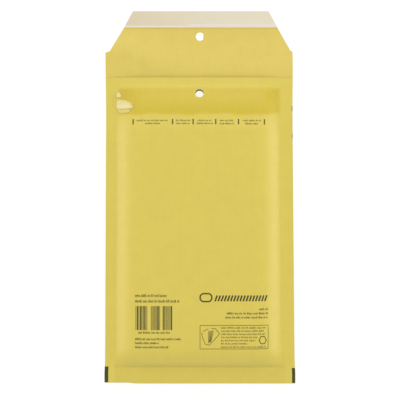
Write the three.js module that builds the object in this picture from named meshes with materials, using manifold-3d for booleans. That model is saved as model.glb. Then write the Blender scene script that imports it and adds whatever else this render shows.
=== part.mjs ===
// Padded mailing envelope with its flap open, lying face up on its far panel.
// One kraft sheet is folded at the foot. A folded bubble film lines it, held in the side seams.
import * as THREE from 'three';
import { ConvexGeometry } from 'three/addons/geometries/ConvexGeometry.js';
import { mergeVertices } from 'three/addons/utils/BufferGeometryUtils.js';
import Module from 'manifold-3d';

const wasm = await Module();
wasm.setup();

// Driving dimensions in millimetres. v runs up the envelope from the foot fold to the flap's tip
const footWidth = 140;
const bodyLength = 225; // foot fold to the mouth
const totalLength = 274.2; // foot fold to the flap's tip
const paperThickness = 0.14;
const filmThickness = 0.1;
const seamWidths = { left: 6.4, right: 8.6 }; // flat side seams, both plies and the film's edges
const footMargin = 12; // flat double ply below the padding
const footTuck = 0.6; // the fold is tucked up this much at its left end
const footDraw = 0.5; // each side is drawn in above the foot margin
const sideTaper = 1.1; // and tapers on towards the mouth, because the padding takes up width
const mouthEase = 0.65; // it widens again where the padding has ended
const lean = 0.5; // the mouth sits this far left of the foot

// Heights of the lying envelope
const seamHeight = 5; // middle of the side seams above the floor
const footSag = 0.6;
const plySpacing = 0.25; // from the middle of a seam or of the foot margin to each ply
const padRise = 7.15; // near ply above the seam, over the padding
const bandRise = 5.4; // the same where the film is glued to the ply
const mouthRise = 2.6; // and at the mouth's edge
const crownRise = 0.4;
const mouthSag = 0.5; // the far ply sags from its seams to the floor, but only half as far at the mouth
const shoulderPower = 3.2; // a higher power makes the shoulder's top longer and flatter
const shoulderEase = 0.35; // and a larger ease makes its start softer
const sideRun = 25; // width of the rounded shoulder beside a seam
const mouthRun = 27;
const farRun = 16;
const footRun = 13;

// Bubble film
const cellHeight = 3.2; // between film and ply where the padding is at its full height
const cell = { pitch: 14.8, radius: 5.8, topRadius: 4.4, sides: 6 };
const cellClearance = 0.15; // from a cell's top to the ply
const cellEdgeRoom = 5.5; // from a side seam to the nearest cells
const filmFoot = 12.3; // the film's own fold
const filmFoldReach = 0.25;
const filmTop = 216.4; // the film stops this far up, below the mouth
const filmInset = 0.4;
const filmGap = 0.175; // between the middles of ply and film where they lie on each other
const bandFoot = 197.7; // the film is glued flat to the ply from here to its top edge
const padTop = 184; // the padding is at its full height up to here
const glueThickness = 0.1;
const layerGap = 0.03;

// Flap, its self-seal strip, the two punched holes and the clear seal
const liftStart = 224; // from here the raised sides of the far ply settle to the floor
const liftEnd = 259;
const stripWidth = 12.2;
const stripThickness = 0.1;
const adhesiveThickness = 0.08;
const adhesiveMargin = 1.2;
const holeRadius = 3.1;
const filmHoleRadius = 3.3;
const bodyHole = { x: -0.35, v: 212.6 };
const flapHole = { x: 0.05, v: 255.4, flatAt: 2.45 };
const seal = { x: -55.3, v: 206.8, radius: 9.4, thickness: 0.08 };
const cutHeight = 40;

const { clamp, smoothstep } = THREE.MathUtils;

// Section of the padding beside a seam: a soft start, a steep flank and a level top
function shoulder(t) {
  const along = clamp(t, 0, 1);
  const eased = (along * along * (1 + shoulderEase)) / (along + shoulderEase);
  return 1 - (1 - eased) ** shoulderPower;
}

// Grid lines across the envelope, as insets from a side edge, and up it
const insets = [0, seamWidths.left, seamWidths.right, 10.4, 13, 17, 23, 31, 44, footWidth / 2];
const edgeInset = 23; // insets past this one stretch and shrink with the width
const footRows = [13.2, 15, 18, 22, 28, 41];
const padRows = [62, padTop, 189, 193.5, bandFoot];
const mouthRows = [207, filmTop];
const flapRows = [234, 243.4, 251, liftEnd, totalLength - stripWidth, totalLength];

function halfWidth(v) {
  const drawn = footDraw * smoothstep(v, 6, 20) + sideTaper * clamp((v - 20) / 175, 0, 1);
  return footWidth / 2 - drawn + mouthEase * smoothstep(v, 205, 243);
}

function acrossAt(column, v) {
  const half = halfWidth(v);
  const over = Math.max(column.inset - edgeInset, 0);
  const stretch = (half - edgeInset) / (footWidth / 2 - edgeInset);
  const inset = Math.min(column.inset, edgeInset) + over * stretch;
  return column.side * (half - inset) + centreAt(v);
}

function centreAt(v) {
  return (-lean * Math.min(v, bodyLength)) / bodyLength;
}

function footShift(x, v) {
  return footTuck * smoothstep(-x, 46, 54) * (1 - smoothstep(v, 1, 8));
}

function seamMiddle(v) {
  return seamHeight - footSag * (1 - smoothstep(v, 0, 40));
}

// How far a ply has swelled, from 0 in the seams to 1 over the padding
function swell({ side, inset }, v, run) {
  const seam = side < 0 ? seamWidths.left : seamWidths.right;
  return shoulder((inset - seam) / run) * shoulder((v - footMargin) / footRun);
}

function nearSwell(column, v) {
  return swell(column, v, sideRun + (mouthRun - sideRun) * smoothstep(v, padTop, bandFoot));
}

function farSwell(column, v) {
  return swell(column, v, farRun + (mouthRun - farRun) * smoothstep(v, padTop, bodyLength));
}

function nearHeight(column, v) {
  const padded = padRise - (padRise - bandRise) * smoothstep(v, padTop, bandFoot + 2);
  const rise = padded - (bandRise - mouthRise) * smoothstep(v, bandFoot, bodyLength);
  const fromMiddle = (footWidth / 2 - column.inset) / (footWidth / 2 - seamWidths.right);
  const crown = crownRise * Math.max(0, 1 - fromMiddle ** 2) * smoothstep(v, footMargin, 60);
  return seamMiddle(v) + plySpacing + rise * nearSwell(column, v) + crown;
}

function farHeight(column, v) {
  const lift = seamMiddle(v) - plySpacing - paperThickness / 2;
  const sag = 1 - (1 - mouthSag) * smoothstep(v, padTop + 8, bodyLength);
  const settled = smoothstep(v, liftStart, liftEnd);
  return paperThickness / 2 + lift * (1 - farSwell(column, v) * sag) * (1 - settled);
}

// Distance from a ply's middle to the film's: a bubble's height in the padding, glue in the band
function filmOffset(swelled, v) {
  const glued = smoothstep(v, padTop + 3, bandFoot);
  const bubble = cellHeight * swelled * (1 - glued);
  const glue = (glueThickness + layerGap) * glued * Math.min(1, 8 * swelled);
  return filmGap + bubble + glue;
}

const filmNear = (column, v) => nearHeight(column, v) - filmOffset(nearSwell(column, v), v);
const filmFar = (column, v) => farHeight(column, v) + filmOffset(farSwell(column, v), v);

// Rows of a hairpin section: down the near side, round the fold, and up the far side
function hairpinRows(levels, foldAt, foldReach, nearAt, farAt, farLevels) {
  const rows = levels.map((v) => ({ v, height: (column) => nearAt(column, v) })).reverse();
  const foldSteps = 4;
  for (let step = 1; step < foldSteps; step++) {
    const angle = Math.PI / 2 + (step * Math.PI) / foldSteps;
    const nearShare = (1 + Math.sin(angle)) / 2;
    const height = (column) => nearShare * nearAt(column, foldAt)
      + (1 - nearShare) * farAt(column, foldAt);
    rows.push({ v: foldAt + foldReach * Math.cos(angle), height });
  }
  return rows.concat(farLevels.map((v) => ({ v, height: (column) => farAt(column, v) })));
}

function columnsFrom(list) {
  const left = list.map((inset) => ({ side: -1, inset }));
  const right = list.slice(0, -1).map((inset) => ({ side: 1, inset }));
  return left.concat(right.reverse());
}

// Points of a sheet's middle surface with its outward normals, row by row
function sheetGrid(rows, columns) {
  const points = rows.map((row) => columns.map((column) => {
    const x = acrossAt(column, row.v);
    return new THREE.Vector3(x, row.v + footShift(x, row.v) - totalLength / 2, row.height(column));
  }));
  const at = (i, j) => points[clamp(i, 0, rows.length - 1)][clamp(j, 0, columns.length - 1)];
  const normals = rows.map((_, i) => columns.map((__, j) => {
    const along = at(i + 1, j).clone().sub(at(i - 1, j));
    const across = at(i, j + 1).clone().sub(at(i, j - 1));
    return along.cross(across).normalize();
  }));
  return { points, normals };
}

// Height of a grid's middle surface between two of its rows, mixed from the four points around
function heightOn({ points }, firstRow, lastRow, x, y) {
  const step = Math.sign(lastRow - firstRow);
  let i = firstRow;
  while (i + step !== lastRow && points[i + step][0].y < y) i += step;
  const [low, high] = [points[i], points[i + step]];
  const up = (y - low[0].y) / (high[0].y - low[0].y);
  const line = low.map((point, j) => point.clone().lerp(high[j], up));
  const j = clamp(line.findIndex((point) => point.x > x), 1, line.length - 1);
  const over = (x - line[j - 1].x) / (line[j].x - line[j - 1].x);
  return THREE.MathUtils.lerp(line[j - 1].z, line[j].z, over);
}

function partOfGrid(grid, [firstRow, lastRow], [firstColumn, lastColumn]) {
  const cut = (list) => list.slice(firstRow, lastRow + 1)
    .map((row) => row.slice(firstColumn, lastColumn + 1));
  return { points: cut(grid.points), normals: cut(grid.normals) };
}

// Closed sheet between two offsets along the normals: outer face, inner face and the rim
function sheetGeometry({ points, normals }, inner, outer) {
  const rowCount = points.length;
  const columnCount = points[0].length;
  const position = [];
  for (const offset of [outer, inner]) {
    points.forEach((row, i) => row.forEach((point, j) => {
      position.push(...point.clone().addScaledVector(normals[i][j], offset).toArray());
    }));
  }
  const index = [];
  const id = (layer, i, j) => (layer * rowCount + i) * columnCount + j;
  const quad = (a, b, c, d) => index.push(a, b, c, a, c, d);
  for (let i = 0; i + 1 < rowCount; i++) {
    for (let j = 0; j + 1 < columnCount; j++) {
      quad(id(0, i, j), id(0, i + 1, j), id(0, i + 1, j + 1), id(0, i, j + 1));
      quad(id(1, i, j), id(1, i, j + 1), id(1, i + 1, j + 1), id(1, i + 1, j));
    }
    quad(id(0, i, 0), id(1, i, 0), id(1, i + 1, 0), id(0, i + 1, 0));
    const last = columnCount - 1;
    quad(id(0, i, last), id(0, i + 1, last), id(1, i + 1, last), id(1, i, last));
  }
  for (let j = 0; j + 1 < columnCount; j++) {
    const last = rowCount - 1;
    quad(id(0, 0, j), id(0, 0, j + 1), id(1, 0, j + 1), id(1, 0, j));
    quad(id(0, last, j), id(1, last, j), id(1, last, j + 1), id(0, last, j + 1));
  }
  const geometry = new THREE.BufferGeometry();
  geometry.setAttribute('position', new THREE.Float32BufferAttribute(position, 3));
  geometry.setIndex(index);
  return geometry;
}

function toSolid(geometry) {
  const bare = geometry.clone();
  bare.deleteAttribute('normal');
  bare.deleteAttribute('uv');
  const merged = mergeVertices(bare, 1e-5);
  return new wasm.Manifold(new wasm.Mesh({
    numProp: 3,
    vertProperties: new Float32Array(merged.attributes.position.array),
    triVerts: new Uint32Array(merged.index.array),
  }));
}

function toGeometry(solid) {
  const mesh = solid.getMesh();
  const geometry = new THREE.BufferGeometry();
  geometry.setAttribute('position', new THREE.BufferAttribute(mesh.vertProperties, 3));
  geometry.setIndex(new THREE.BufferAttribute(mesh.triVerts, 1));
  geometry.computeVertexNormals();
  return geometry;
}

// Straight punch through every layer, from an outline in x and v
function punch(shape, segments = 12) {
  const options = { depth: cutHeight, bevelEnabled: false, curveSegments: segments };
  const geometry = new THREE.ExtrudeGeometry(shape, options);
  return toSolid(geometry.translate(0, -totalLength / 2, -cutHeight / 2));
}

function roundPunch(x, v, radius) {
  return punch(new THREE.Shape().absarc(x, v, radius, 0, 2 * Math.PI), 24);
}

// The flap's hole has one flattened side, where its punched chip tore instead of cutting
function flattenedPunch({ x, v, flatAt }) {
  const angle = Math.acos(flatAt / holeRadius);
  return punch(new THREE.Shape().absarc(x, v, holeRadius, angle, 2 * Math.PI - angle), 24);
}

// Outline of the flap, cut a little to the right of the body's own centre line
const flapOutline = {
  left: [[-72, 242.8], [-69.5, 242.9], [-66.6, 243.8], [-49.7, totalLength]],
  right: [[72, 243.6], [68.6, 243.7], [66.9, 244.9], [50.8, totalLength]],
};

function cornerWaste(points) {
  const outer = Math.sign(points[0][0]) * 80;
  const shape = new THREE.Shape([...points, [points.at(-1)[0], 280], [outer, 280],
    [outer, points[0][1]]].map(([x, v]) => new THREE.Vector2(x, v)));
  return punch(shape);
}

const corners = [cornerWaste(flapOutline.left), cornerWaste(flapOutline.right)];
const bodyPunch = roundPunch(bodyHole.x, bodyHole.v, holeRadius);
const filmPunch = roundPunch(bodyHole.x, bodyHole.v, filmHoleRadius);

// The kraft sheet's grid, shared by everything that lies on it
const foldReach = plySpacing;
const paperFold = plySpacing + paperThickness / 2;
const levels = [paperFold, footMargin, ...footRows, ...padRows, ...mouthRows, bodyLength];
const farLevels = [...levels, ...flapRows];
const columns = columnsFrom(insets);
const paperRows = hairpinRows(levels, paperFold, foldReach, nearHeight, farHeight, farLevels);
const paperGrid = sheetGrid(paperRows, columns);
const lastRow = paperRows.length - 1;
const lastColumn = columns.length - 1;
const nearRow = (v) => levels.length - 1 - levels.indexOf(v);
const farRow = (v) => lastRow - (farLevels.length - 1 - farLevels.indexOf(v));

function kraftEnvelope() {
  const half = paperThickness / 2;
  let sheet = toSolid(sheetGeometry(paperGrid, -half, half));
  for (const cutter of [...corners, bodyPunch, flattenedPunch(flapHole)]) {
    sheet = sheet.subtract(cutter);
  }
  return toGeometry(sheet);
}

// Places of the air cells: a hexagonal lattice over the padding
function cellCentres() {
  const rowPitch = (cell.pitch * Math.sqrt(3)) / 2;
  const centres = [];
  for (let row = 0; row * rowPitch < padTop - filmFoot; row++) {
    for (let step = -5; step <= 5; step++) {
      const x = (step + (row % 2) / 2) * cell.pitch;
      const v = filmFoot + cell.radius + 2 + row * rowPitch;
      const inset = halfWidth(v) - Math.abs(x - centreAt(v));
      const room = inset - seamWidths.right - cell.radius;
      if (room > cellEdgeRoom && v < padTop) centres.push({ x, v });
    }
  }
  return centres;
}

// An air cell from the middle of the film to just short of the ply, its two rings following both
function airCell({ x, v }, filmAt, plyAt, towardsPly) {
  const ring = (radius, heightAt, offset) => Array.from({ length: cell.sides }, (_, k) => {
    const angle = (2 * Math.PI * (k + 0.5)) / cell.sides;
    const px = x + radius * Math.cos(angle);
    const py = v - totalLength / 2 + radius * Math.sin(angle);
    return new THREE.Vector3(px, py, heightAt(px, py) + offset);
  });
  const foot = ring(cell.radius, filmAt, 0);
  const top = ring(cell.topRadius, plyAt, -towardsPly * (paperThickness / 2 + cellClearance));
  return toSolid(new ConvexGeometry([...foot, ...top]));
}

function bubbleFilmLiner() {
  const filmLevels = [filmFoot, ...footRows, ...padRows, ...mouthRows];
  const rows = hairpinRows(filmLevels, filmFoot, filmFoldReach, filmNear, filmFar, filmLevels);
  const grid = sheetGrid(rows, columnsFrom([filmInset, ...insets.slice(1)]));
  let film = toSolid(sheetGeometry(grid, -filmThickness / 2, filmThickness / 2));
  const filmLast = filmLevels.length - 1;
  const farFoot = rows.length - 1 - filmLast;
  const near = { film: [filmLast, 0], ply: [nearRow(footMargin), 0], towardsPly: 1 };
  const far = { film: [farFoot, rows.length - 1], ply: [farRow(footMargin), lastRow],
    towardsPly: -1 };
  for (const side of [near, far]) {
    const filmAt = (x, y) => heightOn(grid, ...side.film, x, y);
    const plyAt = (x, y) => heightOn(paperGrid, ...side.ply, x, y);
    const cells = cellCentres().map((centre) => airCell(centre, filmAt, plyAt, side.towardsPly));
    film = film.add(wasm.Manifold.union(cells));
  }
  return toGeometry(film.subtract(filmPunch));
}

// Hot-melt band between a ply and the film below the mouth
function mouthGlue(rows) {
  const outer = -paperThickness / 2 - layerGap;
  const part = partOfGrid(paperGrid, rows, [3, lastColumn - 3]);
  const band = toSolid(sheetGeometry(part, outer - glueThickness + layerGap, outer));
  return toGeometry(band.subtract(filmPunch));
}

function flapLayer(inner, outer, cutters) {
  const rows = [farRow(totalLength - stripWidth), lastRow];
  let layer = toSolid(sheetGeometry(partOfGrid(paperGrid, rows, [0, lastColumn]), inner, outer));
  for (const cutter of cutters) layer = layer.subtract(cutter);
  return layer;
}

function flapAdhesive() {
  const outer = -paperThickness / 2 - layerGap;
  const foot = totalLength - stripWidth + adhesiveMargin;
  const top = totalLength - adhesiveMargin;
  const outline = [[-55, foot], [55.6, foot], [49.4, top], [-48.6, top]];
  const shape = new THREE.Shape(outline.map(([x, v]) => new THREE.Vector2(x, v)));
  return toGeometry(flapLayer(outer - adhesiveThickness, outer, corners).intersect(punch(shape)));
}

function releaseStrip() {
  const outer = -paperThickness / 2 - 2 * layerGap - adhesiveThickness;
  return toGeometry(flapLayer(outer - stripThickness, outer, corners));
}

function clearSeal() {
  const inner = paperThickness / 2 + layerGap;
  const rows = [nearRow(filmTop), nearRow(193.5)];
  const patch = partOfGrid(paperGrid, rows, [0, insets.indexOf(31)]);
  const disc = toSolid(sheetGeometry(patch, inner, inner + seal.thickness));
  return toGeometry(disc.intersect(roundPunch(seal.x, seal.v, seal.radius)));
}

const group = new THREE.Group();

function addPiece(name, geometry, color, roughness, opacity = 1) {
  const options = { color, roughness, metalness: 0, opacity, transparent: opacity < 1 };
  const mesh = new THREE.Mesh(geometry, new THREE.MeshStandardMaterial(options));
  mesh.name = name;
  group.add(mesh);
}

addPiece('kraft_envelope', kraftEnvelope(), 0xdcca66, 0.6);
addPiece('bubble_film_liner', bubbleFilmLiner(), 0xe6ecee, 0.2, 0.45);
addPiece('mouth_glue_near', mouthGlue([nearRow(filmTop), nearRow(bandFoot)]), 0xd9c352, 0.4);
addPiece('mouth_glue_far', mouthGlue([farRow(bandFoot), farRow(filmTop)]), 0xd9c352, 0.4);
addPiece('flap_adhesive', flapAdhesive(), 0xe8dfc0, 0.3);
addPiece('release_strip', releaseStrip(), 0xe3d7b8, 0.3);
addPiece('clear_seal', clearSeal(), 0xecdea2, 0.15, 0.5);

export default group;
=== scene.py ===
# Padded kraft envelope with its flap open, lying face up and seen from straight above
import math

import bpy
import numpy as np
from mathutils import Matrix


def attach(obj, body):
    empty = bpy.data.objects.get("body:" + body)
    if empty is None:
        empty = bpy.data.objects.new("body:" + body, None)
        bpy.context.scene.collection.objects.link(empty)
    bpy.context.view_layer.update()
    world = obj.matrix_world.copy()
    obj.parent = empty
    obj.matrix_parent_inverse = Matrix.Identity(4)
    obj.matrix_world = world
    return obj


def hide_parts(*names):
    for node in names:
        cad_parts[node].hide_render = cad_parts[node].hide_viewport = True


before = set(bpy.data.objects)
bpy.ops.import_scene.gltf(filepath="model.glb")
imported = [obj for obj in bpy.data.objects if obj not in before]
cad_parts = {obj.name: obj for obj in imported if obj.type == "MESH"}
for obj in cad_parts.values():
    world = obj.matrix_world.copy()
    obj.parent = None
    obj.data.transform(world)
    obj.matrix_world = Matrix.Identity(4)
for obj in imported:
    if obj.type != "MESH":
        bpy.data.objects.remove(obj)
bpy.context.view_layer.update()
mm = 0.001
creaseAngle = math.radians(35)  # edges that turn more than this are shaded sharp
rng = np.random.default_rng(11)

# Every size below is in millimetres. v runs up the envelope from its foot fold.
paper = dict(
    footWidth=140.0, bodyLength=224.4, totalLength=274.2, thickness=0.14,
    leftSeam=6.4, rightSeam=8.6, footMargin=12.3, footDraw=0.5, sideTaper=1.1, mouthEase=0.35, lean=0.5,
    footTuck=0.6, seamHeight=5.0, seamDroop=0.8, footSag=0.6, plySpacing=0.25,
    padRise=7.15, bandRise=5.4, mouthRise=1.2, crownRise=0.4, farSag=0.05,
    shoulderPower=3.2, shoulderEase=0.35, footEase=0.06,
    sideRun=25.0, mouthRun=27.0, farRun=16.0, footRun=20.0,
    padTop=184.0, bandFoot=197.7, filmTop=216.4,
    liftStart=224.0, liftEnd=259.0, liftLate=18.0, liftLateEnd=4.5,
    puckerRise=0.10, puckerPitch=11.0, puckerInset=2.5, puckerFade=4.0, puckerShift=0.8,
    driftAmount=1.7, driftLength=23.0, waveRise=0.11, waveAcross=19.0, waveUp=31.0, wavePhase=0.6,
    slantShare=0.6, slantUp=17.0, slantAcross=37.0, tellRise=0.035,
    edgeInset=23.0)  # grid lines nearer than this to a side edge keep their distance from it

# Where each change starts and ends, up the envelope or, with Across in its name, across it.
span = dict(
    footDraw=(6, 20), sideTaper=(20, 195), mouthEase=(205, 243), seamDroop=(10, 40), droopEnd=(190, 235),
    footSag=(0, 40), tuckEnd=(1, 8), tuckAcross=(46, 54), lateAcross=(-62, -5), pucker=(18, 40),
    padEnd=(paper["padTop"] - 6, paper["bandFoot"]), filmGlued=(paper["padTop"] + 3, paper["bandFoot"]),
    bandFall=(paper["padTop"], paper["bandFoot"] + 2), mouthFall=(paper["bandFoot"], paper["bodyLength"]),
    crownFoot=(paper["footMargin"], 60), crownEnd=(200, paper["bodyLength"]),
    farSag=(paper["padTop"] + 8, paper["bodyLength"]))

# The cut edge of the flap, left and right, as (v, x). Below it the edges are the body's own.
flapCut = dict(
    left=[(242.9, -69.1), (243.8, -66.1), (274.2, -49.5)],
    right=[(243.7, 68.3), (244.9, 66.7), (274.2, 50.7)])

# Two punched clasp holes. slip is how far lower layers have moved to the foot for each millimetre of height.
holes = dict(
    radius=3.1, filmRadius=3.35, bodyX=-0.35, bodyV=212.6, flapX=0.05, flapV=255.4, flatAt=2.45,
    slip=0.16, toolLow=-20.0, toolHigh=40.0)

film = dict(
    thickness=0.1, gap=0.175, glue=0.13, glueEase=8.0, foldAt=12.3, foldReach=0.25, inset=0.4,
    cellHeight=3.2, cellRadius=5.8, cellPitch=14.8, firstRow=7.8, edgeRoom=5.5, sides=16, paperGap=0.12,
    cellRings=(1.0, 1.0, 0.93, 0.74, 0.4), cellRise=(0.0, 0.35, 0.72, 0.93, 1.0))


def ramp(v, low, high):
    # 0 up to low, then straight to 1 at high
    return np.clip((v - low) / (high - low), 0.0, 1.0)


def smooth(v, low, high):
    # 3t² − 2t³, where t is the ramp from low to high
    t = ramp(v, low, high)
    return t * t * (3.0 - 2.0 * t)


def shoulder(t, ease=paper["shoulderEase"]):
    # 1 − (1 − u)ⁿ, where u is t²(1 + e)/(t + e): soft at the seam, then steep, then level at the top
    t = np.clip(t, 0.0, 1.0)
    u = t * t * (1 + ease) / (t + ease)
    return 1.0 - (1.0 - u) ** paper["shoulderPower"]


def halfWidth(v):
    # half the foot width, less what the padding draws in, which grows up to the band, and eased at the mouth
    drawn = paper["footDraw"] * smooth(v, *span["footDraw"])
    drawn = drawn + paper["sideTaper"] * ramp(v, *span["sideTaper"])
    return paper["footWidth"] / 2 - drawn + paper["mouthEase"] * smooth(v, *span["mouthEase"])


def centreAt(v):
    # the body leans a little to the left towards its mouth
    return -paper["lean"] * np.minimum(v, paper["bodyLength"]) / paper["bodyLength"]


def insetAt(x, v):
    # distance from the nearer side edge
    return np.maximum(halfWidth(v) - np.abs(x - centreAt(v)), 0.0)


def seamAt(x, v):
    # the left seam is narrower than the right one
    return np.where(x < centreAt(v), paper["leftSeam"], paper["rightSeam"])


def seamMiddle(x, v):
    # the seam's height, less a sag at the foot and less droop·(1 − u²), where u is 0 at the side edge
    u = np.clip(insetAt(x, v) / seamAt(x, v), 0, 1)
    along = smooth(v, *span["seamDroop"]) * (1 - smooth(v, *span["droopEnd"]))
    droop = paper["seamDroop"] * (1 - u * u) * along
    return paper["seamHeight"] - paper["footSag"] * (1 - smooth(v, *span["footSag"])) - droop


def swell(x, v, run, endLow, endHigh):
    # product of two shoulders, one beside the seam and one above the foot margin
    sideRun = run + (paper["mouthRun"] - run) * smooth(v, endLow, endHigh)
    beside = shoulder((insetAt(x, v) - seamAt(x, v)) / sideRun)
    return beside * shoulder((v - paper["footMargin"]) / paper["footRun"], paper["footEase"])


def nearSwell(x, v):
    # 0 at the seams to 1 over the padding, with wider shoulders where the film is glued
    return swell(x, v, paper["sideRun"], paper["padTop"], paper["bandFoot"])


def farSwell(x, v):
    # the same for the far ply, whose shoulders widen from the padding's top to the mouth
    return swell(x, v, paper["farRun"], paper["padTop"], paper["bodyLength"])


def cellWave(x, v):
    # three cosines at 60 degrees: a hexagonal field with its crests on the film's cells
    k = 4 * math.pi / (math.sqrt(3) * film["cellPitch"])
    up = v - film["foldAt"] - film["firstRow"]
    parts = [np.cos(k * up)] + [np.cos(k * (side * 0.866 * x + 0.5 * up)) for side in (-1, 1)]
    return sum(parts) / 3


def nearRipple(x, v):
    # short puckers that die away from the seams, slow waves over the padding, and a trace of the cells
    full = nearSwell(x, v)
    away = np.abs(insetAt(x, v) - seamAt(x, v) - paper["puckerInset"])
    beside = np.exp(-away / paper["puckerFade"]) * smooth(v, *span["pucker"])
    drift = paper["driftAmount"] * np.sin(v / paper["driftLength"])
    pucker = np.sin(2 * math.pi * v / paper["puckerPitch"] + drift + np.sign(x) * paper["puckerShift"])
    slow = np.sin(x / paper["waveAcross"] + paper["wavePhase"]) * np.cos(v / paper["waveUp"])
    slow = slow + paper["slantShare"] * np.sin(v / paper["slantUp"] - x / paper["slantAcross"])
    inPad = 1 - smooth(v, *span["padEnd"])
    return (paper["puckerRise"] * pucker * beside * inPad
            + paper["waveRise"] * slow * full ** 2
            + paper["tellRise"] * cellWave(x, v) * full ** 3 * inPad)


def nearHeight(x, v):
    # seam height, plus the padding's rise times its swell, plus a low crown and the ripples
    padded = paper["padRise"] - (paper["padRise"] - paper["bandRise"]) * smooth(v, *span["bandFall"])
    rise = padded - (paper["bandRise"] - paper["mouthRise"]) * smooth(v, *span["mouthFall"])
    across = np.abs(x - centreAt(v)) / (paper["footWidth"] / 2 - paper["rightSeam"])
    crown = paper["crownRise"] * np.maximum(0, 1 - across ** 2) * smooth(v, *span["crownFoot"])
    crown = crown * (1 - smooth(v, *span["crownEnd"]))
    return seamMiddle(x, v) + paper["plySpacing"] + rise * nearSwell(x, v) + crown + nearRipple(x, v)


def farHeight(x, v):
    # half the thickness, plus the seam's lift × (1 − swell × sag) × (1 − settled): flat on the floor under
    # the padding, raised at the mouth, where sag is small, and down again past the lip, later on the left
    lift = seamMiddle(x, v) - paper["plySpacing"] - paper["thickness"] / 2
    late = 1 - smooth(x, *span["lateAcross"])
    settled = smooth(v, paper["liftStart"] + paper["liftLate"] * late,
                     paper["liftEnd"] + paper["liftLateEnd"] * late)
    sag = 1 - (1 - paper["farSag"]) * smooth(v, *span["farSag"])
    return paper["thickness"] / 2 + lift * (1 - farSwell(x, v) * sag) * (1 - settled)


def filmOffset(full, v):
    # a cell's height in the padding and a layer of glue in the band below the mouth
    glued = smooth(v, *span["filmGlued"])
    layer = film["glue"] * glued * np.minimum(1, film["glueEase"] * full)
    return film["gap"] + film["cellHeight"] * full * (1 - glued) + layer


def filmNear(x, v):
    # the near ply's height less the film's offset
    return nearHeight(x, v) - filmOffset(nearSwell(x, v), v)


def filmFar(x, v):
    # the far ply's height plus the film's offset
    return farHeight(x, v) + filmOffset(farSwell(x, v), v)


def graded(start, *stops):
    # grid lines from start through each (end, number of cells)
    values = [np.array([float(start)])]
    for end, cells in stops:
        values.append(np.linspace(values[-1][-1], end, cells + 1)[1:])
    return np.concatenate(values)


def acrossAt(insets, v):
    # x of each grid line: its inset from the left or right edge, stretched past edgeInset,
    # and past the mouth squeezed into the flap's cut
    half, edge = halfWidth(v), paper["edgeInset"]
    stretch = (half - edge) / (paper["footWidth"] / 2 - edge)
    lines = np.concatenate([insets, insets[:-1][::-1]])
    side = np.concatenate([-np.ones(len(insets)), np.ones(len(insets) - 1)])
    inset = np.minimum(lines, edge) + np.maximum(lines - edge, 0) * stretch[:, None]
    x = side * (half[:, None] - inset) + centreAt(v)[:, None]
    bodyLeft, bodyRight = centreAt(v) - half, centreAt(v) + half
    left = np.where(v > flapCut["left"][0][0], np.interp(v, *zip(*flapCut["left"])), bodyLeft)
    right = np.where(v > flapCut["right"][0][0], np.interp(v, *zip(*flapCut["right"])), bodyRight)
    share = (x - bodyLeft[:, None]) / (bodyRight - bodyLeft)[:, None]
    return left[:, None] + share * (right - left)[:, None]


def hairpin(levels, foldAt, reach, farLevels, steps=8):
    # v and the near side's weight along a path down the near side, round a half circle, and up the far side
    angle = math.pi / 2 + np.arange(1, steps) * math.pi / steps
    v = np.concatenate([levels[::-1], foldAt + reach * np.cos(angle), farLevels])
    weight = np.concatenate([np.ones(len(levels)), (1 + np.sin(angle)) / 2, np.zeros(len(farLevels))])
    return v, weight


def sheetPoints(v, weight, insets, nearAt, farAt, foldAt):
    # a point for each row and grid line: near height times its weight plus far height times the rest,
    # with the foot's left end tucked up a little
    x = acrossAt(insets, v)
    level = np.maximum(v, foldAt)[:, None] + 0 * x
    w = weight[:, None]
    z = w * nearAt(x, level) + (1 - w) * farAt(x, level)
    tuck = paper["footTuck"] * smooth(-x, *span["tuckAcross"]) * (1 - smooth(v[:, None], *span["tuckEnd"]))
    return np.stack([x, v[:, None] + tuck, z], axis=-1)


def outwardNormals(points):
    # cross product of the row and column differences
    along, across = np.gradient(points, axis=0), np.gradient(points, axis=1)
    normals = np.cross(along, across)
    return normals / np.linalg.norm(normals, axis=-1, keepdims=True)


def shellFaces(rows, columns):
    # quads of the outer layer, of the inner layer turned round, and of the four rims between them
    ids = np.arange(2 * rows * columns).reshape(2, rows, columns)
    outer, inner = ids

    def strip(a, b):
        return np.stack([a[:-1], b[:-1], b[1:], a[1:]], axis=-1).reshape(-1, 4)

    layers = [
        np.stack([outer[:-1, :-1], outer[1:, :-1], outer[1:, 1:], outer[:-1, 1:]], axis=-1).reshape(-1, 4),
        np.stack([inner[:-1, :-1], inner[:-1, 1:], inner[1:, 1:], inner[1:, :-1]], axis=-1).reshape(-1, 4)]
    rims = [strip(outer[:, 0], inner[:, 0]), strip(inner[:, -1], outer[:, -1]),
            strip(inner[0], outer[0]), strip(outer[-1], inner[-1])]
    return np.concatenate(layers + rims)


def shell(points, inner, outer):
    # a closed sheet between two offsets along the outward normals
    normals = outwardNormals(points)
    vertices = np.concatenate([points + normals * outer, points + normals * inner])
    return vertices.reshape(-1, 3), shellFaces(*points.shape[:2])


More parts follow.
